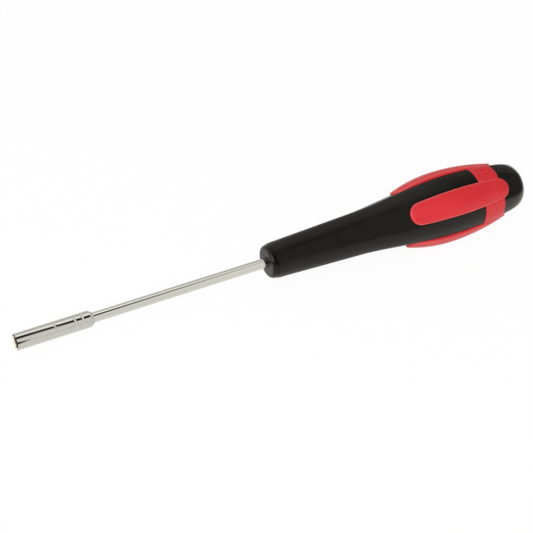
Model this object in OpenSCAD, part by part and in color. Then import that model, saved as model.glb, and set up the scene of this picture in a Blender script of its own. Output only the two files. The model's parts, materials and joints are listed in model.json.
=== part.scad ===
// Nut driver: a chromed, slotted socket on a steel shank, in a black handle with red finger pads.
// The tool lies along X. The socket's mouth is at the origin and the handle points to +X.
// Two of the four finger pads point down to the left and right, so the tool lies on them without rolling.

/* [Socket] */
// Length of the socket, mouth to back end
socket_len = 24.8; // [22:0.2:40]
// Outside diameter of the socket
socket_d = 5.2; // [4.8:0.1:8]
// Diameter of the working bore
bore_d = 4.2; // [3.6:0.1:4.5]
// Depth of the working bore, down to the end of the shank
bore_depth = 12; // [8:0.5:15]
// Number of slots round the mouth
slot_count = 3; // [3:1:8]
// Turn from a finger pad to the nearest slot, in degrees
slot_turn = 12; // [0:0.5:45]
// Width of a slot at the mouth
slot_w = 0.7; // [0.3:0.05:0.8]
// Width of a slot where its tail starts
slot_tail_w = 0.4; // [0.2:0.05:0.6]
// Depth of a slot's wide stretch
slot_depth = 1.6; // [1:0.1:3]
// Length of a slot together with its tapering tail
slot_len = 4.6; // [3.2:0.1:7]
// Rounding of the mouth's outer edge
mouth_round = 0.2; // [0.05:0.05:0.3]
// Length of the taper at the back end
back_taper = 1.25; // [0.4:0.05:2]
// How far the taper draws in at the back end
back_drop = 0.9; // [0.2:0.1:1]
// Distance from the back end to the rear ring groove
ring_set = 3.65; // [2.8:0.05:5]
// Distance between the two ring grooves
ring_pitch = 2.45; // [1.5:0.05:4]
// Width of a ring groove
ring_w = 0.7; // [0.3:0.1:1.2]
// Depth of a ring groove
ring_depth = 0.1; // [0.05:0.05:0.3]

/* [Shank] */
// Diameter of the shank
shank_d = 3.2; // [2.5:0.1:3.4]
// Length of shank that shows between the socket and the handle
shank_show = 58.9; // [40:0.1:120]
// Length of shank inside the handle
shank_tang = 62; // [50:1:80]
// Distance from the front of the handle to the shank's wings
wing_set = 18; // [10:1:22]
// Length of the wings
wing_len = 12; // [6:1:16]
// Span across the two wings
wing_span = 6.4; // [4.5:0.1:7]
// Thickness of the wings
wing_t = 1.4; // [0.8:0.1:2]

/* [Black handle] */
// Length of the glossy nose
nose_len = 1.8; // [1.4:0.1:4]
// Diameter that the nose grows to where the flare starts
nose_d = 11.8; // [11:0.1:14]
// How far the nose draws in towards its front face
nose_bow = 0.85; // [0.3:0.05:1.2]
// Rounding of the nose's front edge
nose_round = 1; // [0.4:0.1:1.2]
// Length of the grip sleeve, from the nose to the red band
sleeve_len = 73.65; // [68:0.05:90]
// Distance from the front of the sleeve to the start of the flare
flare_set = 2.8; // [1:0.1:6]
// Distance from the start of the flare to the waist, where it steepens
waist_set = 27.2; // [15:0.1:32]
// Distance across the flats at the start of the flare
start_flats = 11.6; // [10.8:0.1:14]
// Distance across the flats at the waist
waist_flats = 13.7; // [13:0.1:16]
// Distance across the flats at the belly
belly_flats = 19.25; // [17.5:0.05:24]
// Distance across the flats at the back of the band
tail_flats = 17.05; // [15:0.05:18.4]
// Distance from the belly to the back of the band
belly_set = 18.05; // [13:0.05:24]
// How far the rounded corners stand out beyond the flats at the finger pads
corner_rise = 0.95; // [0.4:0.05:1.4]
// Length over which the flats grow to their full width
flats_len = 42; // [30:1:60]
// Length of the dome behind the band
dome_len = 11.15; // [8:0.05:14]
// Fullness of the dome, where 2 is an ellipse
dome_fullness = 3.6; // [2:0.1:4]
// Length of dome that stays round past the end of its flats
dome_tip = 0.8; // [0.2:0.1:1.5]
// Diameter of the core under the front of the sleeve
neck_d = 8.8; // [8:0.1:9.6]
// Length of the core's neck behind the nose
neck_len = 33; // [28:1:36]
// Length of the cone between the neck and the drum
cone_len = 10; // [6:1:12]
// Diameter of the core's drum under the finger pads
drum_d = 13.6; // [11:0.1:14]

/* [Red finger cage] */
// Length of the band
band_len = 7.9; // [6:0.1:12]
// How far the band stands out from the sleeve
band_rise = 0.2; // [0.1:0.05:0.6]
// Length of a finger pad
pad_len = 37.4; // [32:0.1:42]
// Length of pad behind the band
pad_overrun = 2.65; // [1:0.05:3]
// Distance from the back end of a pad to its crest, where it is highest
pad_crest = 21.3; // [14:0.1:24]
// Distance from the back end of a pad to where it is widest
pad_belly = 19.6; // [14:0.1:24]
// Height of a pad above the flats at its crest
pad_rise = 2.25; // [1.5:0.05:4]
// Height of a pad above the flats at its front end
pad_front_rise = 0.9; // [0.4:0.05:1.4]
// Height of a pad above the dome's flats at its back end
pad_back_rise = 0.85; // [0.2:0.05:1.1]
// Width of a pad where it is widest
pad_w = 8.6; // [7:0.1:10]
// Radius of a pad's long sides, seen from above
pad_side_r = 170; // [110:5:220]
// Width across the raised nut mark on the band
mark_w = 3.4; // [1.5:0.1:4]
// Distance from the middle of the band to the middle of the nut mark
mark_set = 0.25; // [-0.5:0.05:0.5]
// Height of the raised nut mark
mark_rise = 0.25; // [0.1:0.05:0.5]

/* [Hidden] */
$fn = 96;

chrome = [0.80, 0.80, 0.79];
gloss_black = [0.07, 0.07, 0.06];
satin_black = [0.14, 0.14, 0.13];
red = [0.84, 0.20, 0.22];

// The tool has four finger pads, one on each flat
pad_count = 4;
pad_turn = 360 / pad_count;
first_pad = pad_turn / 2;
// Cutters reach this far past the faces that they cut
over = 1;
sleeve_steps = 24;
nose_steps = 8;
mouth_steps = 4;
dome_steps = 14;
band_steps = 4;
// Sides of the large circles that the pads' long arcs are cut from
arc_sides = 960;

// Radii
socket_r = socket_d / 2;
bore_r = bore_d / 2;
shank_r = shank_d / 2;

// Stations along X
handle_x = socket_len + shank_show;
sleeve_x = handle_x + nose_len;
band_x = sleeve_x + sleeve_len;
dome_x = band_x + band_len;
butt_x = dome_x + dome_len;
flare_x = sleeve_x + flare_set;
waist_x = flare_x + waist_set;
belly_x = dome_x - belly_set;
pad_end_x = dome_x + pad_overrun;
pad_front_x = pad_end_x - pad_len;
crest_x = pad_end_x - pad_crest;
widest_x = pad_end_x - pad_belly;
wing_x = handle_x + wing_set;

// The mouth's rounding and the back taper stay inside the socket's wall
least_land = 0.05;
mouth_cut = min(mouth_round, socket_r - bore_r - least_land);
back_cut = min(back_drop, socket_r - shank_r - least_land);

function ease(t) = t * t * (3 - 2 * t);

// Half the distance across the flats: a straight flare to the waist, a curve up to the belly that
// leaves the waist at the same slope, and a tail that draws in behind the belly
function flare(x) =
    let (slope = (waist_flats - start_flats) / waist_set)
    x < waist_x
        ? (start_flats + slope * max(x - flare_x, 0)) / 2
        : let (
            span = belly_x - waist_x,
            way = (x - waist_x) / span,
            lead = slope * span * way * pow(1 - way, 2)
        ) (waist_flats + (belly_flats - waist_flats) * ease(way) + lead) / 2;
function tail(x) = (belly_flats - (belly_flats - tail_flats) * pow((x - belly_x) / belly_set, 2)) / 2;
function flat_r(x) = x < belly_x ? flare(x) : tail(x);

// Radius of the nose and the front of the sleeve, which are round and bow in towards the front face
function bow_left(x) = 1 - (x - handle_x) / (flare_x - handle_x);
function bow_r(x) = nose_d / 2 - nose_bow * pow(bow_left(x), 2);
function bow_slope(x) = 2 * nose_bow * bow_left(x) / (flare_x - handle_x);

// Radius of the rounded corners, which grow out of the round front as the flats widen
function corner_extra(x) =
    let (start = (nose_d - start_flats) / 2)
    start + (corner_rise - start) * min((x - flare_x) / flats_len, 1);
function corner_r(x) = x < flare_x ? bow_r(x) : flat_r(x) + corner_extra(x);

// The dome carries on the tail and closes along a full ellipse, from 1 at the band to 0 at its own end
function dome_close(x, len) = pow(1 - pow(min((x - dome_x) / len, 1), dome_fullness), 1 / dome_fullness);
function dome_flat_r(x) = flat_r(x) * dome_close(x, dome_len + dome_tip);
function dome_corner_r(x) = corner_r(x) * dome_close(x, dome_len);

// Points spaced evenly along X, or round the dome's quarter so that they crowd near its end
function stations(from, to, steps) = [for (i = [0 : steps]) from + (to - from) * i / steps];
function dome_stations() = [for (i = [0 : dome_steps]) dome_x + dome_len * sin(90 * i / dome_steps)];

module along_x() {
    rotate([0, 90, 0]) children();
}

// A solid of revolution about X, from points of radius and x
module turned(points) {
    along_x() rotate_extrude() polygon(points);
}

// A bar with two opposite flat sides, from points of x and half height
module flat_bar(points) {
    mirrored = [for (i = [len(points) - 1 : -1 : 0]) [points[i].x, -points[i].y]];
    linear_extrude(height = belly_flats * 2, center = true) polygon(concat(points, mirrored));
}

// A round body cut by four flats, which face the finger pads
module flatted(corners, flats) {
    ends = [[0, corners[len(corners) - 1].y], [0, corners[0].y]];
    intersection() {
        turned(concat(corners, ends));
        rotate([first_pad, 0, 0]) flat_bar(flats);
        rotate([first_pad + pad_turn, 0, 0]) flat_bar(flats);
    }
}

// A stretch of the handle's outside, grown outwards by rise
module handle_stretch(from, to, steps, rise = 0) {
    xs = stations(from, to, steps);
    flatted([for (x = xs) [corner_r(x) + rise, x]], [for (x = xs) [x, flat_r(x) + rise]]);
}

module dome() {
    xs = dome_stations();
    inner = [for (i = [0 : dome_steps - 1]) xs[i]];
    corners = concat([for (x = inner) [dome_corner_r(x), x]], [[0, butt_x]]);
    flatted(corners, [for (x = xs) [x, dome_flat_r(x)]]);
}

// One finger pad's outline, seen from above: two long arcs closed by round ends that meet them smoothly.
// An end lies at reach from the widest place, and its arc meets the sides nearer to it.
function pad_end_r(reach) =
    (pad_side_r * pad_w - pow(pad_w / 2, 2) - pow(reach, 2)) / (2 * (pad_side_r - reach));
function pad_end_meet(reach) =
    let (end_r = pad_end_r(reach))
    (reach - end_r) * pad_side_r / (pad_side_r - end_r);

module pad_end(reach, way) {
    end_r = pad_end_r(reach);
    translate([widest_x + way * (reach - end_r), 0]) circle(r = end_r);
}

module pad_outline() {
    front = widest_x - pad_front_x;
    back = pad_end_x - widest_x;
    centre_y = pad_side_r - pad_w / 2;
    pad_end(front, -1);
    pad_end(back, 1);
    intersection() {
        translate([widest_x, centre_y]) circle(r = pad_side_r, $fn = arc_sides);
        translate([widest_x, -centre_y]) circle(r = pad_side_r, $fn = arc_sides);
        translate([widest_x - pad_end_meet(front), -pad_w])
            square([pad_end_meet(front) + pad_end_meet(back), 2 * pad_w]);
    }
}

// The space above the outline of every pad, from the axis outwards
module pad_columns() {
    for (i = [0 : pad_count - 1])
        rotate([first_pad + i * pad_turn, 0, 0])
            linear_extrude(height = belly_flats) pad_outline();
}

// The crowned outside of the pads: two arcs along X that meet at the crest, drop above each end
module pad_crown_half(reach, drop, way) {
    crest_r = flat_r(crest_x) + pad_rise;
    arc_r = (pow(reach, 2) + pow(drop, 2)) / (2 * drop);
    intersection() {
        translate([crest_r - arc_r, crest_x]) circle(r = arc_r, $fn = arc_sides);
        translate([0, way > 0 ? crest_x : crest_x - reach - over]) square([crest_r + over, reach + over]);
    }
}

module pad_crown() {
    crest_r = flat_r(crest_x) + pad_rise;
    front_r = flat_r(pad_front_x) + pad_front_rise;
    back_r = dome_flat_r(pad_end_x) + pad_back_rise;
    along_x() rotate_extrude() {
        pad_crown_half(crest_x - pad_front_x, crest_r - front_r, -1);
        pad_crown_half(pad_end_x - crest_x, crest_r - back_r, 1);
    }
}

// The core inside the sleeve and the cage: a neck, a cone and a drum that ends inside the dome
module core_inside() {
    neck_end = sleeve_x + neck_len;
    cone_end = neck_end + cone_len;
    drum_end = pad_end_x + over;
    turned([
        [0, handle_x + nose_round],
        [neck_d / 2, handle_x + nose_round],
        [neck_d / 2, neck_end],
        [drum_d / 2, cone_end],
        [drum_d / 2, drum_end],
        [0, drum_end]
    ]);
}

// The nose's front edge is rounded up to where the arc meets the bow at its slope
module nose() {
    edge_x = handle_x + nose_round;
    edge_turn = 90 - atan(bow_slope(edge_x));
    meet_x = edge_x - nose_round * cos(edge_turn);
    edge_r = bow_r(meet_x) - nose_round * sin(edge_turn);
    turned(concat(
        [[0, handle_x]],
        [for (i = [0 : nose_steps])
            let (turn = edge_turn * i / nose_steps)
            [edge_r + nose_round * sin(turn), edge_x - nose_round * cos(turn)]],
        [for (i = [1 : nose_steps])
            let (x = meet_x + (sleeve_x - meet_x) * i / nose_steps)
            [bow_r(x), x]],
        [[0, sleeve_x]]
    ));
}

module shank_solid() {
    translate([bore_depth, 0, 0])
        along_x() cylinder(r = shank_r, h = handle_x + shank_tang - bore_depth);
    translate([wing_x, -wing_t / 2, -wing_span / 2]) cube([wing_len, wing_t, wing_span]);
}

// A ring groove's outline on the socket's wall, from front to back
function groove(x) = [[socket_r, x - ring_w / 2], [socket_r - ring_depth, x], [socket_r, x + ring_w / 2]];

module socket_slot() {
    linear_extrude(height = socket_d) polygon([
        [-over, -slot_w / 2],
        [0, -slot_w / 2],
        [slot_depth, -slot_tail_w / 2],
        [slot_len, 0],
        [slot_depth, slot_tail_w / 2],
        [0, slot_w / 2],
        [-over, slot_w / 2]
    ]);
}

module socket() {
    rear_ring = socket_len - ring_set;
    color(chrome)
        difference() {
            turned(concat(
                [[bore_r, 0]],
                [for (i = [0 : mouth_steps])
                    let (turn = 90 * i / mouth_steps)
                    [socket_r - mouth_cut * (1 - sin(turn)), mouth_cut * (1 - cos(turn))]],
                groove(rear_ring - ring_pitch),
                groove(rear_ring),
                [[socket_r, socket_len - back_taper], [socket_r - back_cut, socket_len]],
                [[shank_r, socket_len], [shank_r, bore_depth], [bore_r, bore_depth]]
            ));
            for (i = [0 : slot_count - 1])
                rotate([first_pad + slot_turn + i * 360 / slot_count, 0, 0]) socket_slot();
        }
}

module shank() {
    color(chrome) shank_solid();
}

module handle_core() {
    color(gloss_black)
        difference() {
            union() {
                nose();
                core_inside();
                difference() {
                    dome();
                    pad_columns();
                }
            }
            shank_solid();
        }
}

module grip_sleeve() {
    color(satin_black)
        difference() {
            handle_stretch(sleeve_x, band_x, sleeve_steps);
            core_inside();
            pad_columns();
        }
}

// The small raised hexagon on the band, midway between two pads
module nut_mark() {
    mark_x = band_x + band_len / 2 + mark_set;
    translate([mark_x, 0, 0])
        cylinder(d = mark_w, h = corner_r(mark_x) + band_rise + mark_rise, $fn = 6);
}

module finger_cage() {
    color(red)
        difference() {
            union() {
                handle_stretch(band_x, dome_x, band_steps, band_rise);
                nut_mark();
                intersection() {
                    pad_columns();
                    pad_crown();
                }
            }
            core_inside();
        }
}

socket();
shank();
handle_core();
grip_sleeve();
finger_cage();
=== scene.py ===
import json
import math

import bpy
from mathutils import Matrix, Vector

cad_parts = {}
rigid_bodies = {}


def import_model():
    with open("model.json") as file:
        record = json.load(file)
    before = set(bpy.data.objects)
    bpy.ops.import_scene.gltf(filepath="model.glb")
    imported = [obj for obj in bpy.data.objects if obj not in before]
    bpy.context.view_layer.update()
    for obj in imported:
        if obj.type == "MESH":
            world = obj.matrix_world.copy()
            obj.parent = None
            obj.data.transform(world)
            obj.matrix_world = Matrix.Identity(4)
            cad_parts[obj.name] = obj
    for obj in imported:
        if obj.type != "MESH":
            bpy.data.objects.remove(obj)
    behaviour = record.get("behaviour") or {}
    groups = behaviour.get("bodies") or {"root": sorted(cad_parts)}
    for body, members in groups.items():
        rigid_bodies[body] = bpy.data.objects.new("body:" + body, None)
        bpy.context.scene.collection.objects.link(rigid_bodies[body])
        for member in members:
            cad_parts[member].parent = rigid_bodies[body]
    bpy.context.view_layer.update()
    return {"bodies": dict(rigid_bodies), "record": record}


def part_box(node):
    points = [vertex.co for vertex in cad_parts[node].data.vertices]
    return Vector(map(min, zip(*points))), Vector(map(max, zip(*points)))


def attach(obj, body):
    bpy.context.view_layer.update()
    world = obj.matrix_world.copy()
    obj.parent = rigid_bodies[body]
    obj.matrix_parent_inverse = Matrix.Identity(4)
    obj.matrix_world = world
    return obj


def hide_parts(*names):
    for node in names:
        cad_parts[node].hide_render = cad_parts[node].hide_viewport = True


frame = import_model()

# The frame's own sizes, in metres
MM = 0.001
mounts = {mount["name"]: mount for mount in frame["record"]["mounts"]}
socket_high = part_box("socket")[1]
shank_low, shank_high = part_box("shank")
core_low, core_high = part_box("handle_core")
sleeve_low, sleeve_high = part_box("grip_sleeve")
cage_low, cage_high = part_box("finger_cage")
BODY = sorted(frame["bodies"])[0]

SOCKET_R = socket_high.y
SOCKET_END = socket_high.x
BORE_R = mounts["socket_bore"]["dims"]["r_mm"] * MM
SHANK_R = shank_high.y
SHANK_FRONT = shank_low.x
SHANK_END = shank_high.x
WING_SPAN = shank_high.z - shank_low.z
HANDLE_X = core_low.x
BUTT_X = core_high.x
SLEEVE_X = sleeve_low.x
BAND_X = sleeve_high.x
PAD_FRONT_X = cage_low.x
PAD_END_X = cage_high.x

# Socket
MOUTH_ROUND = 0.08 * MM
LEAD_IN = 0.3 * MM
BACK_TAPER = 1.25 * MM
BACK_DROP = 0.9 * MM
RING_SET = 3.65 * MM
RING_PITCH = 2.45 * MM
RING_W = 0.7 * MM
RING_DEPTH = 0.1 * MM
CRIMP_SET = 0.35 * MM
CRIMP_W = 1.3 * MM
CRIMP_DEPTH = 0.012 * MM
WALL_HOLD = 0.04 * MM
SLOT_COUNT = 3
SLOT_TURN = math.radians(12)
SLOT_W = 0.7 * MM
SLOT_TAIL_W = 0.4 * MM
SLOT_DEPTH = 1.6 * MM
SLOT_LEN = 4.6 * MM
SLOT_START = 0.9 * MM
SLOT_EDGE = 0.03 * MM
SLOT_EDGE_ANGLE = math.radians(50)
# The plate is dull where the wall is rolled in by the first of these, and fully so by the second
DULL_START = 0.003 * MM
DULL_FULL = 0.018 * MM

# Shank
WING_SET = 18 * MM
WING_LEN = 12 * MM
WING_T = 1.4 * MM

# Black handle
NOSE_R = 5.9 * MM
NOSE_BOW = 0.85 * MM
NOSE_ROUND = 1 * MM
NOSE_LIP = 0.18 * MM
FLARE_SET = 2.8 * MM
WAIST_SET = 27.2 * MM
START_FLATS = 11.6 * MM
WAIST_FLATS = 13.7 * MM
BELLY_FLATS = 19.25 * MM
TAIL_FLATS = 17.05 * MM
BELLY_SET = 18.05 * MM
CORNER_RISE = 0.95 * MM
FLATS_LEN = 42 * MM
DOME_FULLNESS = 3.6
DOME_TIP = 0.8 * MM
NECK_R = 4.4 * MM
NECK_LEN = 33 * MM
CONE_LEN = 10 * MM
DRUM_R = 6.8 * MM
SEAM_ROUND = 0.08 * MM
SLEEVE_CREASE = 0.12 * MM
DOME_CREASE = 0.4 * MM
# Half of a flat spans at least this angle, which keeps its points apart where it runs out
LEAST_FLAT = math.radians(8)

# Red finger cage
BAND_LEN = 7.9 * MM
BAND_RISE = 0.2 * MM
BAND_ROUND = 0.15 * MM
PAD_COUNT = 4
PAD_CREST = 21.3 * MM
PAD_BELLY = 19.6 * MM
PAD_RISE = 2.25 * MM
PAD_FRONT_RISE = 0.9 * MM
PAD_BACK_RISE = 0.85 * MM
PAD_W = 8.6 * MM
PAD_SIDE_R = 170 * MM
PAD_ROUND = 0.4 * MM
PAD_DROOP = 0.45 * MM
PAD_GAP = 0.05 * MM
PAD_BASE = PAD_W / 2 + 0.2 * MM
# A pad's rounded edge carries the most painted highlight where its face leans this far, as a share of
# straight up
HIGHLIGHT_LEAN = 0.5
HIGHLIGHT_SPREAD = 0.36
MARK_W = 3.4 * MM
MARK_SET = 0.25 * MM
MARK_RISE = 0.25 * MM
MARK_EDGE = 0.08 * MM
MARK_RIM = 0.55 * MM
MARK_SINK = 0.22 * MM

FLARE_X = SLEEVE_X + FLARE_SET
WAIST_X = FLARE_X + WAIST_SET
DOME_X = BAND_X + BAND_LEN
BELLY_X = DOME_X - BELLY_SET
CREST_X = PAD_END_X - PAD_CREST
WIDEST_X = PAD_END_X - PAD_BELLY
DRUM_END = PAD_END_X + MM
PAD_TURN = 2 * math.pi / PAD_COUNT
MERGE = 0.001 * MM
SMOOTH_ANGLE = math.radians(30)
# Shares of a face's normal: up, mostly along a direction, and slightly
UP = 0.9
MOSTLY = 0.5
SLIGHTLY = 0.2

# Steps along each curve
SPIN_STEPS = 192
SHANK_STEPS = 96
MOUTH_STEPS = 6
GROOVE_STEPS = 12
NOSE_STEPS = 12
BOW_STEPS = 6
SLEEVE_STEPS = 56
BAND_STEPS = 8
BAND_EDGE_STEPS = 4
DOME_STEPS = 24
PAD_END_STEPS = 26
PAD_SIDE_STEPS = 40
PAD_RIM_STEPS = 7
PAD_CUTS_ALONG = 34
PAD_CUTS_ACROSS = 14


# Shape of the handle's outside

def ease(way):
    """A smooth rise from 0 to 1."""
    return way * way * (3 - 2 * way)


def flat_r(x):
    """Half the distance across the flats: a straight flare, a curve to the belly and a tail."""
    if x >= BELLY_X:
        drop = (BELLY_FLATS - TAIL_FLATS) * ((x - BELLY_X) / BELLY_SET) ** 2
        return (BELLY_FLATS - drop) / 2
    slope = (WAIST_FLATS - START_FLATS) / WAIST_SET
    if x < WAIST_X:
        return (START_FLATS + slope * max(x - FLARE_X, 0)) / 2
    span = BELLY_X - WAIST_X
    way = (x - WAIST_X) / span
    lead = slope * span * way * (1 - way) ** 2
    return (WAIST_FLATS + (BELLY_FLATS - WAIST_FLATS) * ease(way) + lead) / 2


def bow_r(x):
    """Radius of the round nose and sleeve front, which bow in towards the front face."""
    return NOSE_R - NOSE_BOW * (1 - (x - HANDLE_X) / (FLARE_X - HANDLE_X)) ** 2


def bow_slope(x):
    """Slope of the bow at x, which the nose's rounded edge runs into."""
    length = FLARE_X - HANDLE_X
    return 2 * NOSE_BOW * (1 - (x - HANDLE_X) / length) / length


def corner_r(x):
    """Radius of the rounded corners, which grow out of the round front as the flats widen."""
    if x < FLARE_X:
        return bow_r(x)
    start = NOSE_R - START_FLATS / 2
    return flat_r(x) + start + (CORNER_RISE - start) * min((x - FLARE_X) / FLATS_LEN, 1)


def dome_close(x, length):
    """How far the dome has closed in at x, from 1 at its start to 0 at its length."""
    way = min((x - DOME_X) / length, 1)
    return (1 - way ** DOME_FULLNESS) ** (1 / DOME_FULLNESS)


def outside(x, rise=0):
    """Radius of the corners and half distance across the flats at x, sleeve, band or dome."""
    if x <= DOME_X:
        return corner_r(x) + rise, flat_r(x) + rise
    dome_len = BUTT_X - DOME_X
    return corner_r(x) * dome_close(x, dome_len), flat_r(x) * dome_close(x, dome_len + DOME_TIP)


def crown_r(x):
    """Radius of the pads' crowned outside: two arcs that meet at the crest."""
    crest = flat_r(CREST_X) + PAD_RISE
    if x < CREST_X:
        reach = CREST_X - PAD_FRONT_X
        drop = crest - flat_r(PAD_FRONT_X) - PAD_FRONT_RISE
    else:
        reach = PAD_END_X - CREST_X
        drop = crest - outside(PAD_END_X)[1] - PAD_BACK_RISE
    arc_r = (reach ** 2 + drop ** 2) / (2 * drop)
    return crest - arc_r + math.sqrt(arc_r ** 2 - (x - CREST_X) ** 2)


def arc(centre, radius, start, end, steps):
    """Points on an arc in x and r, with angles in degrees."""
    angles = [math.radians(start + (end - start) * i / steps) for i in range(steps + 1)]
    return [(centre[0] + radius * math.cos(a), centre[1] + radius * math.sin(a)) for a in angles]


def stations(start, end, steps):
    """Evenly spaced places from start to end."""
    return [start + (end - start) * i / steps for i in range(steps + 1)]


# Modelling steps that several pieces share

def deselect():
    bpy.ops.object.select_all(action="DESELECT")


def activate(piece):
    """Make a piece the active one and the only one selected."""
    deselect()
    piece.select_set(True)
    bpy.context.view_layer.objects.active = piece


def turned(name, profile, steps=SPIN_STEPS):
    """A turned solid: one point is drawn along the profile, then spun about the tool's axis."""
    deselect()
    bpy.ops.mesh.primitive_plane_add(size=MM)
    piece = bpy.context.object
    piece.name = name
    bpy.ops.object.mode_set(mode="EDIT")
    bpy.ops.mesh.select_mode(type="VERT")
    bpy.ops.mesh.merge(type="CENTER")
    bpy.ops.transform.translate(value=(profile[0][0], 0, profile[0][1]))
    for here, there in zip(profile, profile[1:]):
        step = (there[0] - here[0], 0, there[1] - here[1])
        bpy.ops.mesh.extrude_region_move(TRANSFORM_OT_translate={"value": step})
    bpy.ops.mesh.select_all(action="SELECT")
    bpy.ops.mesh.spin(steps=steps, angle=2 * math.pi, center=(0, 0, 0), axis=(1, 0, 0))
    bpy.ops.mesh.select_all(action="SELECT")
    bpy.ops.mesh.remove_doubles(threshold=MERGE)
    bpy.ops.mesh.normals_make_consistent(inside=False)
    bpy.ops.object.mode_set(mode="OBJECT")
    return piece


def press_flats(piece, start, inner, crease, rise=0):
    """Press four flats into a turned piece from start on, outside the inner radius."""
    for vertex in piece.data.vertices:
        x, y, z = vertex.co
        radius = math.hypot(y, z)
        if x < start - MERGE or radius <= inner + MERGE:
            continue
        corner, flat = outside(x, rise)
        if corner < MERGE:
            continue
        turn = math.atan2(y, z) / PAD_TURN
        side = math.floor(turn)
        # From -1 to 1 across one flat and half of each corner beside it
        across = 2 * (turn - side) - 1
        edge = max(math.acos(min(flat / corner, 1)), LEAST_FLAT)
        half = PAD_TURN / 2
        if abs(across) < 0.5:
            lean = across * 2 * edge
        else:
            lean = math.copysign(edge + (abs(across) - 0.5) * 2 * (half - edge), across)
        near = flat / math.cos(lean)
        blend = max(crease - abs(near - corner), 0) / crease
        section = min(near, corner) - blend * blend * crease / 4
        pressed = inner + (radius - inner) * (section - inner) / (corner - inner)
        angle = (side + 0.5) * PAD_TURN + lean
        vertex.co = (x, pressed * math.sin(angle), pressed * math.cos(angle))
    piece.data.update()


def combine(piece, tool, operation):
    """Cut a piece with a tool solid, or join the two. The tool is used up."""
    activate(piece)
    boolean = piece.modifiers.new("boolean", "BOOLEAN")
    boolean.operation = operation
    boolean.solver = "EXACT"
    boolean.object = tool
    bpy.ops.object.modifier_apply(modifier=boolean.name)
    bpy.data.objects.remove(tool)


def turn_about_axis(piece, angle):
    """Turn a piece about the tool's axis, from the top towards the front."""
    activate(piece)
    bpy.ops.transform.rotate(value=-angle, orient_axis="X", center_override=(0, 0, 0))
    bpy.ops.object.transform_apply(location=True, rotation=True, scale=True)


def ring_of(piece, count, first):
    """Copies of a piece spaced evenly round the tool's axis, joined as one object."""
    copies = []
    for i in range(count):
        activate(piece)
        bpy.ops.object.duplicate()
        copies.append(bpy.context.object)
        turn_about_axis(bpy.context.object, first + i * 2 * math.pi / count)
    bpy.data.objects.remove(piece)
    deselect()
    for copy in copies:
        copy.select_set(True)
    bpy.context.view_layer.objects.active = copies[0]
    bpy.ops.object.join()
    return copies[0]


def outline_prism(name, points, low, high):
    """A closed outline in x and y, filled and drawn up from low to high."""
    deselect()
    bpy.ops.mesh.primitive_circle_add(vertices=len(points), radius=MM, fill_type="NGON")
    piece = bpy.context.object
    piece.name = name
    for vertex, (x, y) in zip(piece.data.vertices, points):
        vertex.co = (x, y, low)
    bpy.ops.object.mode_set(mode="EDIT")
    bpy.ops.mesh.select_all(action="SELECT")
    bpy.ops.mesh.extrude_region_move(TRANSFORM_OT_translate={"value": (0, 0, high - low)})
    bpy.ops.mesh.select_all(action="SELECT")
    bpy.ops.mesh.normals_make_consistent(inside=False)
    bpy.ops.object.mode_set(mode="OBJECT")
    return piece


def select_top(piece):
    """Select only the faces that look up."""
    activate(piece)
    bpy.ops.object.mode_set(mode="EDIT")
    bpy.ops.mesh.select_mode(type="FACE")
    bpy.ops.mesh.select_all(action="DESELECT")
    bpy.ops.object.mode_set(mode="OBJECT")
    for face in piece.data.polygons:
        face.select = face.normal.z > UP


def cut_top(piece, place, normal):
    """Cut the faces that look up along a plane, which adds points for a later shape."""
    select_top(piece)
    bpy.ops.object.mode_set(mode="EDIT")
    bpy.ops.mesh.bisect(plane_co=place, plane_no=normal)
    bpy.ops.object.mode_set(mode="OBJECT")


def finish_piece(piece, materials, node):
    """Smooth shading, materials and the piece's place in the frame."""
    activate(piece)
    bpy.ops.object.transform_apply(location=True, rotation=True, scale=True)
    bpy.ops.object.shade_smooth_by_angle(angle=SMOOTH_ANGLE)
    piece.data.materials.clear()
    for material in materials:
        piece.data.materials.append(material)
    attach(piece, BODY)
    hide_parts(node)


# Pieces

def groove(x, width, depth):
    """Points of a rolled ring groove in the socket's wall, which is held straight beside it."""
    points = [(x - width / 2 - WALL_HOLD, SOCKET_R)]
    for i in range(GROOVE_STEPS + 1):
        way = i / GROOVE_STEPS
        dip = depth * (1 - math.cos(2 * math.pi * way)) / 2
        points.append((x + (way - 0.5) * width, SOCKET_R - dip))
    points.append((x + width / 2 + WALL_HOLD, SOCKET_R))
    return points


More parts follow.
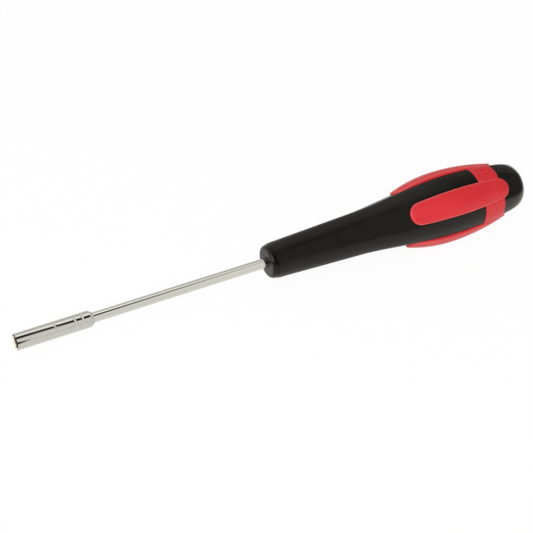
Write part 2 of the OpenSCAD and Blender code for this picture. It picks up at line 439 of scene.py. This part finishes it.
def make_socket(plate, bare, dark):
    """The socket: turned, slotted at its mouth, and bare inside."""
    rear_ring = SOCKET_END - RING_SET
    profile = [(LEAD_IN, BORE_R)]
    profile += arc((MOUTH_ROUND, SOCKET_R - MOUTH_ROUND), MOUTH_ROUND, 180, 90, MOUTH_STEPS)
    profile += [(MOUTH_ROUND + WALL_HOLD, SOCKET_R)]
    profile += groove(SHANK_FRONT + CRIMP_SET, CRIMP_W, CRIMP_DEPTH)
    profile += groove(rear_ring - RING_PITCH, RING_W, RING_DEPTH)
    profile += groove(rear_ring, RING_W, RING_DEPTH)
    profile += [(SOCKET_END - BACK_TAPER, SOCKET_R), (SOCKET_END, SOCKET_R - BACK_DROP)]
    profile += [(SOCKET_END, SHANK_R), (SHANK_FRONT, SHANK_R), (SHANK_FRONT, BORE_R), (LEAD_IN, BORE_R)]
    socket = turned("turned_socket", profile)
    outline = [(-MM, -SLOT_W / 2), (0, -SLOT_W / 2), (SLOT_DEPTH, -SLOT_TAIL_W / 2), (SLOT_LEN, 0)]
    outline += [(x, -y) for x, y in reversed(outline[:3])]
    slot = outline_prism("slot_cutter", outline, SLOT_START, 2 * SOCKET_R)
    combine(socket, ring_of(slot, SLOT_COUNT, PAD_TURN / 2 + SLOT_TURN), "DIFFERENCE")
    edges = socket.modifiers.new("edges", "BEVEL")
    edges.limit_method = "ANGLE"
    edges.angle_limit = SLOT_EDGE_ANGLE
    edges.width = SLOT_EDGE
    edges.segments = 2
    activate(socket)
    bpy.ops.object.modifier_apply(modifier=edges.name)
    materials = [plate, bare, dark]
    finish_piece(socket, materials, "socket")
    # The bore takes painted light and shade by depth; the mouth's front rim and the slots' walls take
    # near-black painted shade
    for face in socket.data.polygons:
        x, y, z = face.center
        outward = (face.normal.y * y + face.normal.z * z) / math.hypot(y, z)
        if x < SHANK_FRONT + MERGE and outward < -MOSTLY:
            face.material_index = materials.index(bare)
        elif x < MOUTH_ROUND and face.normal.x < -SLIGHTLY:
            face.material_index = materials.index(dark)
        elif x < SLOT_LEN and abs(outward) < MOSTLY and abs(face.normal.x) < MOSTLY:
            face.material_index = materials.index(dark)


def make_shank(plate):
    """The shank: a round rod with two flat wings that the handle holds."""
    profile = [(SHANK_FRONT, 0), (SHANK_FRONT, SHANK_R), (SHANK_END, SHANK_R), (SHANK_END, 0)]
    shank = turned("drawn_shank", profile, SHANK_STEPS)
    deselect()
    place = (HANDLE_X + WING_SET + WING_LEN / 2, 0, 0)
    bpy.ops.mesh.primitive_cube_add(size=1, location=place)
    wings = bpy.context.object
    bpy.ops.transform.resize(value=(WING_LEN, WING_T, WING_SPAN), center_override=place)
    combine(shank, wings, "UNION")
    finish_piece(shank, [plate], "shank")


def pad_outline(gap=0):
    """One pad seen from above, grown by gap: two long arcs closed by round ends."""
    half_w = PAD_W / 2
    ends = []
    for reach in (PAD_END_X - WIDEST_X, WIDEST_X - PAD_FRONT_X):
        end_r = (2 * PAD_SIDE_R * half_w - half_w ** 2 - reach ** 2) / (2 * (PAD_SIDE_R - reach))
        centre = reach - end_r
        lean = math.degrees(math.asin(centre / (PAD_SIDE_R - end_r)))
        ends.append((centre, end_r, lean))
    (back, back_r, back_lean), (front, front_r, front_lean) = ends
    side = PAD_SIDE_R - half_w
    stretches = [
        ((WIDEST_X + back, 0), back_r, back_lean - 90, 90 - back_lean, PAD_END_STEPS),
        ((WIDEST_X, -side), PAD_SIDE_R, 90 - back_lean, 90 + front_lean, PAD_SIDE_STEPS),
        ((WIDEST_X - front, 0), front_r, 90 + front_lean, 270 - front_lean, PAD_END_STEPS),
        ((WIDEST_X, side), PAD_SIDE_R, 270 - front_lean, 270 + back_lean, PAD_SIDE_STEPS),
    ]
    points = []
    for centre, radius, start, end, steps in stretches:
        points += arc(centre, radius + gap, start, end, steps)[:-1]
    return points


def make_pad():
    """One finger pad that points up: drawn up from its outline, rounded, and crowned."""
    top = 2 * BELLY_FLATS
    pad = outline_prism("finger_pad", pad_outline(), 0, top - PAD_ROUND)
    select_top(pad)
    bpy.ops.object.mode_set(mode="EDIT")
    rim = arc((PAD_ROUND, 0), PAD_ROUND, 180, 90, PAD_RIM_STEPS)
    for here, there in zip(rim, rim[1:]):
        bpy.ops.mesh.inset(thickness=there[0] - here[0], depth=there[1] - here[1], use_even_offset=True)
    bpy.ops.object.mode_set(mode="OBJECT")
    for x in stations(PAD_FRONT_X, PAD_END_X, PAD_CUTS_ALONG)[1:-1]:
        cut_top(pad, (x, 0, 0), (1, 0, 0))
    for y in stations(-PAD_W / 2, PAD_W / 2, PAD_CUTS_ACROSS)[1:-1]:
        cut_top(pad, (0, y, 0), (0, 1, 0))
    for vertex in pad.data.vertices:
        x, y, z = vertex.co
        crown = math.sqrt(crown_r(min(max(x, PAD_FRONT_X), PAD_END_X)) ** 2 - y ** 2)
        crown -= PAD_DROOP * (2 * y / PAD_W) ** 2
        vertex.co.z = crown - (top - z) if z > MERGE else PAD_BASE
    pad.data.update()
    return pad


def make_pad_cutters():
    """The pads' outlines, a little grown, which clear their places in the sleeve and the dome."""
    cutter = outline_prism("pad_cutter", pad_outline(PAD_GAP), PAD_BASE, BELLY_FLATS)
    return ring_of(cutter, PAD_COUNT, PAD_TURN / 2)


def core_inside(end):
    """The core under the sleeve and the cage: a neck, a cone and a drum that runs to the end."""
    neck_end = SLEEVE_X + NECK_LEN
    return [
        (SLEEVE_X, NECK_R),
        (neck_end, NECK_R),
        (neck_end + CONE_LEN, DRUM_R),
        (end, DRUM_R),
    ]


def make_dome():
    """The butt end, flatted like the sleeve, with a pocket for the tail of each pad."""
    dome_len = BUTT_X - DOME_X
    turns = stations(0, math.pi / 2, DOME_STEPS)[:-1]
    rings = [DOME_X + dome_len * math.sin(turn) for turn in turns]
    profile = [(DOME_X, 0)] + [(x, outside(x)[0]) for x in rings] + [(BUTT_X, 0)]
    dome = turned("dome", profile)
    press_flats(dome, DOME_X, 0, DOME_CREASE)
    combine(dome, make_pad_cutters(), "DIFFERENCE")
    return dome


def make_core(gloss, dim):
    """The core: a nose with a rounded edge, the hidden neck, cone and drum, and the dome."""
    profile = [(SHANK_END, 0), (SHANK_END, SHANK_R), (HANDLE_X + NOSE_LIP, SHANK_R)]
    profile += [(HANDLE_X, SHANK_R + NOSE_LIP)]
    edge_x = HANDLE_X + NOSE_ROUND
    lean = math.atan(bow_slope(edge_x))
    meet_x = edge_x - NOSE_ROUND * math.sin(lean)
    centre = (edge_x, bow_r(meet_x) - NOSE_ROUND * math.cos(lean))
    profile += arc(centre, NOSE_ROUND, 180, 90 + math.degrees(lean), NOSE_STEPS)
    profile += [(x, bow_r(x)) for x in stations(meet_x, SLEEVE_X - SEAM_ROUND, BOW_STEPS)[1:]]
    profile += [(SLEEVE_X, bow_r(SLEEVE_X) - SEAM_ROUND)]
    profile += core_inside(DRUM_END) + [(DRUM_END, 0)]
    core = turned("handle_core_moulding", profile)
    combine(core, make_dome(), "UNION")
    materials = [gloss, dim]
    finish_piece(core, materials, "handle_core")
    for face in core.data.polygons:
        if face.center.x < SLEEVE_X:
            face.material_index = materials.index(dim)


def make_sleeve(satin):
    """The sleeve over the core, from the nose to the band, with four flats and four windows."""
    outer = [SLEEVE_X] + stations(SLEEVE_X + SEAM_ROUND, BAND_X, SLEEVE_STEPS)
    profile = [(x, corner_r(x)) for x in outer]
    profile[0] = (SLEEVE_X, bow_r(SLEEVE_X) - SEAM_ROUND)
    profile += reversed(core_inside(BAND_X))
    profile.append(profile[0])
    sleeve = turned("grip_sleeve_moulding", profile)
    press_flats(sleeve, SLEEVE_X + SEAM_ROUND, NECK_R, SLEEVE_CREASE)
    combine(sleeve, make_pad_cutters(), "DIFFERENCE")
    finish_piece(sleeve, [satin], "grip_sleeve")


def make_mark():
    """A small nut, raised on the band between two pads."""
    mark_x = BAND_X + BAND_LEN / 2 + MARK_SET
    top = corner_r(mark_x) + BAND_RISE + MARK_RISE - MARK_EDGE
    deselect()
    place = (mark_x, 0, top / 2)
    bpy.ops.mesh.primitive_cylinder_add(vertices=6, radius=MARK_W / 2, depth=top, location=place)
    mark = bpy.context.object
    bpy.ops.object.transform_apply(location=True, rotation=True, scale=True)
    select_top(mark)
    bpy.ops.object.mode_set(mode="EDIT")
    bpy.ops.mesh.inset(thickness=MARK_EDGE, depth=MARK_EDGE)
    bpy.ops.mesh.inset(thickness=MARK_RIM)
    bpy.ops.mesh.inset(thickness=MARK_EDGE, depth=-MARK_SINK)
    bpy.ops.object.mode_set(mode="OBJECT")
    return mark


def mark_painted_highlight(cage):
    """Note on each point how far it lies on a pad's rounded edge, for the paler red of the painted
    highlight.
    """
    painted_highlight = cage.data.attributes.new("painted_highlight", "FLOAT", "POINT")
    for vertex, mark in zip(cage.data.vertices, painted_highlight.data):
        y, z = vertex.co.yz
        turn = (math.floor(math.atan2(y, z) / PAD_TURN) + 0.5) * PAD_TURN
        lean = vertex.normal.y * math.sin(turn) + vertex.normal.z * math.cos(turn)
        across = y * math.cos(turn) - z * math.sin(turn)
        if abs(across) < PAD_W / 2 + MERGE:
            mark.value = max(1 - abs(lean - HIGHLIGHT_LEAN) / HIGHLIGHT_SPREAD, 0)


def make_cage(red):
    """The cage: a flatted band with a raised mark, and four crowned finger pads."""
    profile = [(BAND_X, DRUM_R / 2)]
    front_r = corner_r(BAND_X) + BAND_RISE
    profile += arc((BAND_X + BAND_ROUND, front_r - BAND_ROUND), BAND_ROUND, 180, 90, BAND_EDGE_STEPS)
    inner_stations = stations(BAND_X + BAND_ROUND, DOME_X - BAND_ROUND, BAND_STEPS)[1:-1]
    profile += [(x, corner_r(x) + BAND_RISE) for x in inner_stations]
    back_r = corner_r(DOME_X) + BAND_RISE
    profile += arc((DOME_X - BAND_ROUND, back_r - BAND_ROUND), BAND_ROUND, 90, 0, BAND_EDGE_STEPS)
    profile += [(DOME_X, DRUM_R / 2), (BAND_X, DRUM_R / 2)]
    cage = turned("finger_cage_moulding", profile)
    press_flats(cage, BAND_X, DRUM_R / 2, SLEEVE_CREASE, BAND_RISE)
    combine(cage, make_mark(), "UNION")
    pads = ring_of(make_pad(), PAD_COUNT, PAD_TURN / 2)
    combine(cage, pads, "UNION")
    core = [(SLEEVE_X, 0)] + core_inside(DRUM_END) + [(DRUM_END, 0)]
    combine(cage, turned("core_cutter", core), "DIFFERENCE")
    finish_piece(cage, [red], "finger_cage")
    mark_painted_highlight(cage)


# Materials

# Colour sockets of a Mix node
MIX_A = 6
MIX_B = 7
MIX_RESULT = 2
# Span of the slow mottle that colour and gloss drift over
MOTTLE_LOW = 0.3
MOTTLE_HIGH = 0.7
DULL_COLOUR = (0.60, 0.597, 0.578, 1)
DULL_ROUGHNESS = 0.6
DULL_METAL = 0.25
# Paler red of the painted highlight along the pads' rounded edges
PAINTED_HIGHLIGHT_RED = (0.80, 0.125, 0.115, 1)
# The bore's colour by depth behind the mouth, in millimetres: painted light at the mouth, painted shade
# deeper in
BORE_LIGHT_AND_SHADE = [
    (0.0, (0.98, 0.93, 0.79)),
    (0.3, (0.98, 0.92, 0.76)),
    (0.45, (0.70, 0.57, 0.37)),
    (0.6, (0.25, 0.18, 0.11)),
    (0.8, (0.06, 0.045, 0.03)),
    (1.0, (0.02, 0.015, 0.01)),
]


def new_group(name, inputs, outputs):
    """An empty shader node group with named sockets, and its two end nodes."""
    group = bpy.data.node_groups.new(name, "ShaderNodeTree")
    for socket_name, kind, value in inputs:
        socket = group.interface.new_socket(socket_name, in_out="INPUT", socket_type=kind)
        if value is not None:
            socket.default_value = value
    for socket_name, kind in outputs:
        group.interface.new_socket(socket_name, in_out="OUTPUT", socket_type=kind)
    start = group.nodes.new("NodeGroupInput")
    end = group.nodes.new("NodeGroupOutput")
    return group, start, end


def grain_group():
    """Fine moulded or polished grain: a height for bump and a slow mottle for colour and gloss."""
    group, start, end = new_group(
        "fine_grain",
        [
            ("Vector", "NodeSocketVector", None),
            ("Grain Scale", "NodeSocketFloat", 2500.0),
            ("Mottle Scale", "NodeSocketFloat", 160.0),
        ],
        [("Height", "NodeSocketFloat"), ("Mottle", "NodeSocketFloat")],
    )
    fine = group.nodes.new("ShaderNodeTexNoise")
    fine.inputs["Detail"].default_value = 3
    mottle = group.nodes.new("ShaderNodeTexNoise")
    mottle.inputs["Detail"].default_value = 4
    link = group.links.new
    link(start.outputs["Vector"], fine.inputs["Vector"])
    link(start.outputs["Grain Scale"], fine.inputs["Scale"])
    link(start.outputs["Vector"], mottle.inputs["Vector"])
    link(start.outputs["Mottle Scale"], mottle.inputs["Scale"])
    link(fine.outputs["Fac"], end.inputs["Height"])
    link(mottle.outputs["Fac"], end.inputs["Mottle"])
    return group


FINE_GRAIN = grain_group()


def ramp_node(nodes, stops):
    """A colour ramp with these stops, each a place and a colour."""
    ramp = nodes.new("ShaderNodeValToRGB")
    elements = ramp.color_ramp.elements
    while len(elements) < len(stops):
        elements.new(0.5)
    for element, (place, colour) in zip(elements, stops):
        element.position = place
        element.color = (*colour, 1)
    return ramp


def colour_mix(nodes):
    """A Mix node for colours."""
    mix = nodes.new("ShaderNodeMix")
    mix.data_type = "RGBA"
    return mix


def math_node(nodes, operation):
    """A Math node that does one operation."""
    node = nodes.new("ShaderNodeMath")
    node.operation = operation
    return node


def grained_material(name, dark, light, rough, grain, mottle, bump):
    """A surface whose colour and gloss drift slowly and whose finish is a fine grain.

    Rough is a range of roughness, grain and mottle are noise scales, and bump is a strength
    and a height.
    """
    material = bpy.data.materials.new(name)
    material.use_nodes = True
    nodes = material.node_tree.nodes
    link = material.node_tree.links.new
    shader = nodes["Principled BSDF"]
    coords = nodes.new("ShaderNodeTexCoord")
    texture = nodes.new("ShaderNodeGroup")
    texture.node_tree = FINE_GRAIN
    texture.inputs["Grain Scale"].default_value = grain
    texture.inputs["Mottle Scale"].default_value = mottle
    colour = ramp_node(nodes, [(MOTTLE_LOW, dark), (MOTTLE_HIGH, light)])
    gloss = nodes.new("ShaderNodeMapRange")
    gloss.inputs["From Min"].default_value = MOTTLE_LOW
    gloss.inputs["From Max"].default_value = MOTTLE_HIGH
    gloss.inputs["To Min"].default_value = rough[0]
    gloss.inputs["To Max"].default_value = rough[1]
    relief = nodes.new("ShaderNodeBump")
    relief.inputs["Strength"].default_value = bump[0]
    relief.inputs["Distance"].default_value = bump[1]
    link(coords.outputs["Object"], texture.inputs["Vector"])
    link(texture.outputs["Mottle"], colour.inputs["Fac"])
    link(texture.outputs["Mottle"], gloss.inputs["Value"])
    link(texture.outputs["Height"], relief.inputs["Height"])
    link(colour.outputs["Color"], shader.inputs["Base Color"])
    link(gloss.outputs["Result"], shader.inputs["Roughness"])
    link(relief.outputs["Normal"], shader.inputs["Normal"])
    return material, shader


def bright_plate(name, dark, light):
    """Chrome plate, polished so that its grain only just shows."""
    material, shader = grained_material(
        name, dark, light,
        rough=(0.03, 0.05), grain=900, mottle=120, bump=(0.02, 0.005 * MM),
    )
    shader.inputs["Metallic"].default_value = 1
    return material, shader


def chrome_plate():
    """The shank's plate."""
    return bright_plate("chrome_plate", (0.60, 0.598, 0.572), (0.62, 0.618, 0.592))[0]


def socket_plate():
    """The socket's plate, dull where its wall is rolled in: at the rings and the back taper."""
    material, shader = bright_plate("socket_plate", (0.55, 0.548, 0.535), (0.57, 0.568, 0.555))
    nodes = material.node_tree.nodes
    link = material.node_tree.links.new
    coords = nodes.new("ShaderNodeTexCoord")
    across = nodes.new("ShaderNodeMapping")
    across.inputs["Scale"].default_value = (0, 1, 1)
    reach = nodes.new("ShaderNodeVectorMath")
    reach.operation = "LENGTH"
    rolled = nodes.new("ShaderNodeMapRange")
    rolled.inputs["From Min"].default_value = SOCKET_R - DULL_START
    rolled.inputs["From Max"].default_value = SOCKET_R - DULL_FULL
    split = nodes.new("ShaderNodeSeparateXYZ")
    behind = math_node(nodes, "GREATER_THAN")
    behind.inputs[1].default_value = SHANK_FRONT / 2
    dull = math_node(nodes, "MULTIPLY")
    rough = math_node(nodes, "MULTIPLY_ADD")
    rough.inputs[1].default_value = DULL_ROUGHNESS
    pale = colour_mix(nodes)
    pale.inputs[MIX_B].default_value = DULL_COLOUR
    metal = math_node(nodes, "MULTIPLY_ADD")
    metal.inputs[1].default_value = DULL_METAL - 1
    metal.inputs[2].default_value = 1
    polished = shader.inputs["Roughness"].links[0].from_socket
    bright = shader.inputs["Base Color"].links[0].from_socket
    link(coords.outputs["Object"], across.inputs["Vector"])
    link(coords.outputs["Object"], split.inputs["Vector"])
    link(across.outputs["Vector"], reach.inputs[0])
    link(reach.outputs["Value"], rolled.inputs["Value"])
    link(split.outputs["X"], behind.inputs[0])
    link(rolled.outputs["Result"], dull.inputs[0])
    link(behind.outputs["Value"], dull.inputs[1])
    link(dull.outputs["Value"], rough.inputs[0])
    link(polished, rough.inputs[2])
    link(rough.outputs["Value"], shader.inputs["Roughness"])
    link(dull.outputs["Value"], metal.inputs[0])
    link(metal.outputs["Value"], shader.inputs["Metallic"])
    link(dull.outputs["Value"], pale.inputs["Factor"])
    link(bright, pale.inputs[MIX_A])
    link(pale.outputs[MIX_RESULT], shader.inputs["Base Color"])
    return material


def bare_bore():
    """The unplated bore, pale: lighter at the mouth with painted light, darker deeper in with painted
    shade.
    """
    material, shader = grained_material(
        "bare_bore", (0.94, 0.94, 0.94), (1, 1, 1),
        rough=(0.35, 0.5), grain=3000, mottle=700, bump=(0.2, 0.02 * MM),
    )
    nodes = material.node_tree.nodes
    link = material.node_tree.links.new
    coords = nodes.new("ShaderNodeTexCoord")
    split = nodes.new("ShaderNodeSeparateXYZ")
    depth = nodes.new("ShaderNodeMapRange")
    deepest = BORE_LIGHT_AND_SHADE[-1][0]
    depth.inputs["From Max"].default_value = deepest * MM
    # The depth ramp paints light on the bore near the mouth and shade further in
    ramp = ramp_node(nodes, [(place / deepest, colour) for place, colour in BORE_LIGHT_AND_SHADE])
    tint = colour_mix(nodes)
    tint.blend_type = "MULTIPLY"
    tint.inputs["Factor"].default_value = 1
    mottled = shader.inputs["Base Color"].links[0].from_socket
    link(coords.outputs["Object"], split.inputs["Vector"])
    link(split.outputs["X"], depth.inputs["Value"])
    link(depth.outputs["Result"], ramp.inputs["Fac"])
    link(ramp.outputs["Color"], tint.inputs[MIX_A])
    link(mottled, tint.inputs[MIX_B])
    link(tint.outputs[MIX_RESULT], shader.inputs["Base Color"])
    return material


def painted_mouth_shade():
    """Near-black painted shade on the slots' sawn walls and the mouth's front rim."""
    return grained_material(
        "painted_mouth_shade", (0.006, 0.005, 0.004), (0.014, 0.011, 0.008),
        rough=(0.45, 0.6), grain=3000, mottle=700, bump=(0.2, 0.02 * MM),
    )[0]


def gloss_black():
    """The polished dome."""
    material, shader = grained_material(
        "gloss_black", (0.0125, 0.0115, 0.010), (0.015, 0.0138, 0.012),
        rough=(0.08, 0.13), grain=1800, mottle=140, bump=(0.05, 0.02 * MM),
    )
    shader.inputs["Specular IOR Level"].default_value = 0.39
    shader.inputs["Specular Tint"].default_value = (1, 0.86, 0.72, 1)
    return material


def dim_black():
    """The nose's face and barrel, less polished than the dome."""
    material, shader = grained_material(
        "dim_black", (0.003, 0.003, 0.0025), (0.005, 0.005, 0.004),
        rough=(0.2, 0.26), grain=1800, mottle=140, bump=(0.05, 0.02 * MM),
    )
    shader.inputs["Specular IOR Level"].default_value = 0.235
    shader.inputs["Specular Tint"].default_value = (1, 0.96, 0.87, 1)
    return material


def satin_black():
    """The finely grained sleeve."""
    material, shader = grained_material(
        "satin_black", (0.003, 0.003, 0.0025), (0.006, 0.006, 0.005),
        rough=(0.36, 0.44), grain=2600, mottle=150, bump=(0.25, 0.03 * MM),
    )
    shader.inputs["Specular IOR Level"].default_value = 0.28
    shader.inputs["Specular Tint"].default_value = (1, 0.95, 0.85, 1)
    return material


def satin_red():
    """The finely grained cage, with a paler painted highlight along the pads' rounded edges."""
    material, shader = grained_material(
        "satin_red", (0.66, 0.016, 0.024), (0.70, 0.020, 0.029),
        rough=(0.38, 0.46), grain=2600, mottle=150, bump=(0.15, 0.03 * MM),
    )
    shader.inputs["Specular IOR Level"].default_value = 0.5
    nodes = material.node_tree.nodes
    link = material.node_tree.links.new
    # A paler red painted highlight is mixed in along the pads' rounded edges
    painted_highlight = nodes.new("ShaderNodeAttribute")
    painted_highlight.attribute_name = "painted_highlight"
    pale = colour_mix(nodes)
    pale.inputs[MIX_B].default_value = PAINTED_HIGHLIGHT_RED
    moulded = shader.inputs["Base Color"].links[0].from_socket
    link(painted_highlight.outputs["Fac"], pale.inputs["Factor"])
    link(moulded, pale.inputs[MIX_A])
    link(pale.outputs[MIX_RESULT], shader.inputs["Base Color"])
    return material


# Camera, floor and light

CAMERA_PLACE = Vector((-0.1115, -0.34113, 0.35150))
CAMERA_RIGHT = Vector((0.8854, -0.46315, 0.04237))
CAMERA_BACK = Vector((-0.3696, -0.64543, 0.66837))
CAMERA_LENS = 113.67
CAMERA_NEAR = 0.01
SENSOR = 36
WHITE = (1, 1, 1, 1)
FLOOR_SIZE = 4
FLOOR_COLOUR = (0.95, 0.95, 0.94, 1)
# Share of the floor's own shade that the camera sees on its white, and the floor as gloss mirrors it
FLOOR_SHADE = 0.05
FLOOR_MIRRORED = (1, 0.985, 0.92, 1)
SOFT_LIGHT = 0.6
LAMP_PLACE = Vector((-0.2, -0.36, 0.54))
LAMP_AIM = Vector((0.1, 0, 0))
LAMP_SIZE = (0.9, 0.6)
LAMP_WATTS = 3.12


def make_camera():
    """The camera at the photograph's viewing angle."""
    deselect()
    bpy.ops.object.camera_add(location=CAMERA_PLACE)
    camera = bpy.context.object
    back = CAMERA_BACK.normalized()
    up = back.cross(CAMERA_RIGHT).normalized()
    right = up.cross(back)
    camera.rotation_euler = Matrix((right, up, back)).transposed().to_euler()
    camera.data.lens = CAMERA_LENS
    camera.data.sensor_width = SENSOR
    camera.data.clip_start = CAMERA_NEAR
    bpy.context.scene.camera = camera


def make_floor():
    """A pale floor that the tool lies on: two pads and the lower edge of the socket's mouth."""
    slope = (cage_low.z + SOCKET_R) / CREST_X
    deselect()
    bpy.ops.mesh.primitive_plane_add(size=FLOOR_SIZE, location=(0, 0, -SOCKET_R))
    floor = bpy.context.object
    floor.name = "floor"
    floor.rotation_euler = (0, -math.atan(slope), 0)
    bpy.ops.object.transform_apply(location=True, rotation=True, scale=True)
    material = bpy.data.materials.new("pale_floor")
    material.use_nodes = True
    nodes = material.node_tree.nodes
    link = material.node_tree.links.new
    nodes.clear()
    output = nodes.new("ShaderNodeOutputMaterial")
    paths = nodes.new("ShaderNodeLightPath")
    matt = nodes.new("ShaderNodeBsdfDiffuse")
    matt.inputs["Color"].default_value = FLOOR_COLOUR
    white = nodes.new("ShaderNodeEmission")
    white.inputs["Color"].default_value = WHITE
    seen = nodes.new("ShaderNodeMixShader")
    seen.inputs["Fac"].default_value = FLOOR_SHADE
    mirrored = nodes.new("ShaderNodeEmission")
    mirrored.inputs["Color"].default_value = FLOOR_MIRRORED
    to_camera = nodes.new("ShaderNodeMixShader")
    to_gloss = nodes.new("ShaderNodeMixShader")
    link(white.outputs["Emission"], seen.inputs[1])
    link(matt.outputs["BSDF"], seen.inputs[2])
    link(paths.outputs["Is Camera Ray"], to_camera.inputs["Fac"])
    link(matt.outputs["BSDF"], to_camera.inputs[1])
    link(seen.outputs["Shader"], to_camera.inputs[2])
    link(paths.outputs["Is Glossy Ray"], to_gloss.inputs["Fac"])
    link(to_camera.outputs["Shader"], to_gloss.inputs[1])
    link(mirrored.outputs["Emission"], to_gloss.inputs[2])
    link(to_gloss.outputs["Shader"], output.inputs["Surface"])
    floor.data.materials.append(material)


# The studio round the tool as its surfaces mirror it: level by angle about the tool's axis, from the
# front horizon over the top, in degrees. A dark card hangs over the socket, and the light round the
# handle is shaded.
ROUND_SOCKET = [
    (0, 0.9), (7, 0.82), (16, 0.92), (28, 1.0), (62, 1.0), (65, 0.01),
    (94, 0.01), (99, 1.45), (122, 1.45), (129, 0.74), (180, 0.74),
]
ROUND_MOUTH = [
    (0, 0.9), (7, 0.82), (16, 0.92), (28, 1.0), (73, 1.0), (76, 0.01),
    (106, 0.01), (111, 1.45), (131, 1.45), (137, 0.74), (180, 0.74),
]
ROUND_SHANK = [
    (0, 1.0), (8, 0.95), (28, 1.1), (60, 1.08), (67, 0.85),
    (90, 0.85), (97, 1.02), (120, 1.02), (129, 0.64), (180, 0.64),
]
ROUND_HANDLE = [
    (0, 1.0), (8, 0.9), (22, 0.35), (34, 0.06), (60, 0.05),
    (85, 0.09), (110, 0.1), (118, 0.25), (180, 0.25),
]
BEHIND_BUTT = [
    (0, 0.3), (30, 0.1), (112, 0.1), (117, 1.0), (121, 1.0), (127, 0.25), (180, 0.2),
]
ROUND_CAMERA = [
    (0, 0.9), (5, 0.8), (11, 0.05), (62, 0.03), (65, 0.01),
    (90, 0.01), (98, 0.8), (129, 0.74), (180, 0.74),
]
BEFORE_TOOL = [
    (0, 0.5), (8, 0.2), (25, 0.1), (33, 1.0), (40, 4.0), (88, 4.0), (97, 1.6),
    (106, 1.6), (117, 0.3), (127, 0.3), (136, 1.6), (180, 1.6),
]
STUDIO_TINT = (1, 0.985, 0.93)
# Lean along the tool's axis at which one surrounding passes into the next
CAMERA_LEAN = (-0.55, -0.42)
MOUTH_LEAN = (0.08, 0.14)
SOCKET_LEAN = (0.226, 0.258)
SHANK_LEAN = (0.27, 0.37)
HANDLE_LEAN = (0.371, 0.377)
BUTT_LEAN = (0.75, 0.9)


def surrounding(nodes, levels):
    """One stretch of the studio as a ramp of light, in the studio's tint."""
    stops = [(degrees / 180, [level * tint for tint in STUDIO_TINT]) for degrees, level in levels]
    return ramp_node(nodes, stops)


def make_studio():
    """The world: white to the camera, the studio's bands to gloss, and soft light to the rest."""
    world = bpy.data.worlds.new("studio")
    bpy.context.scene.world = world
    world.use_nodes = True
    nodes = world.node_tree.nodes
    link = world.node_tree.links.new
    nodes.clear()
    output = nodes.new("ShaderNodeOutputWorld")
    paths = nodes.new("ShaderNodeLightPath")
    coords = nodes.new("ShaderNodeTexCoord")
    split = nodes.new("ShaderNodeSeparateXYZ")
    front = math_node(nodes, "MULTIPLY")
    front.inputs[1].default_value = -1
    angle = math_node(nodes, "ARCTAN2")
    share = math_node(nodes, "DIVIDE")
    share.inputs[1].default_value = math.pi
    link(coords.outputs["Generated"], split.inputs["Vector"])
    link(split.outputs["Y"], front.inputs[0])
    link(split.outputs["Z"], angle.inputs[0])
    link(front.outputs["Value"], angle.inputs[1])
    link(angle.outputs["Value"], share.inputs[0])
    first = surrounding(nodes, BEFORE_TOOL)
    link(share.outputs["Value"], first.inputs["Fac"])
    colour = first.outputs["Color"]
    later = (
        (ROUND_CAMERA, CAMERA_LEAN),
        (ROUND_MOUTH, MOUTH_LEAN),
        (ROUND_SOCKET, SOCKET_LEAN),
        (ROUND_SHANK, SHANK_LEAN),
        (ROUND_HANDLE, HANDLE_LEAN),
        (BEHIND_BUTT, BUTT_LEAN),
    )
    for levels, lean in later:
        bands = surrounding(nodes, levels)
        link(share.outputs["Value"], bands.inputs["Fac"])
        passage = nodes.new("ShaderNodeMapRange")
        passage.inputs["From Min"].default_value = lean[0]
        passage.inputs["From Max"].default_value = lean[1]
        mixed = colour_mix(nodes)
        link(split.outputs["X"], passage.inputs["Value"])
        link(passage.outputs["Result"], mixed.inputs["Factor"])
        link(colour, mixed.inputs[MIX_A])
        link(bands.outputs["Color"], mixed.inputs[MIX_B])
        colour = mixed.outputs[MIX_RESULT]
    mirrored = nodes.new("ShaderNodeBackground")
    soft = nodes.new("ShaderNodeBackground")
    soft.inputs["Color"].default_value = WHITE
    soft.inputs["Strength"].default_value = SOFT_LIGHT
    white = nodes.new("ShaderNodeBackground")
    white.inputs["Color"].default_value = WHITE
    to_gloss = nodes.new("ShaderNodeMixShader")
    to_camera = nodes.new("ShaderNodeMixShader")
    link(colour, mirrored.inputs["Color"])
    link(paths.outputs["Is Glossy Ray"], to_gloss.inputs["Fac"])
    link(soft.outputs["Background"], to_gloss.inputs[1])
    link(mirrored.outputs["Background"], to_gloss.inputs[2])
    link(paths.outputs["Is Camera Ray"], to_camera.inputs["Fac"])
    link(to_gloss.outputs["Shader"], to_camera.inputs[1])
    link(white.outputs["Background"], to_camera.inputs[2])
    link(to_camera.outputs["Shader"], output.inputs["Surface"])


def make_lamp():
    """One broad soft lamp above and in front of the tool."""
    deselect()
    bpy.ops.object.light_add(type="AREA", location=LAMP_PLACE)
    lamp = bpy.context.object
    lamp.data.shape = "RECTANGLE"
    lamp.data.size, lamp.data.size_y = LAMP_SIZE
    lamp.data.energy = LAMP_WATTS
    aim = LAMP_AIM - LAMP_PLACE
    lamp.rotation_euler = aim.to_track_quat("-Z", "Y").to_euler()
    lamp.visible_glossy = False


make_camera()
make_floor()
make_studio()
make_lamp()

make_socket(socket_plate(), bare_bore(), painted_mouth_shade())
make_shank(chrome_plate())
make_core(gloss_black(), dim_black())
make_sleeve(satin_black())
make_cage(satin_red())

bpy.context.scene.view_settings.view_transform = "Standard"
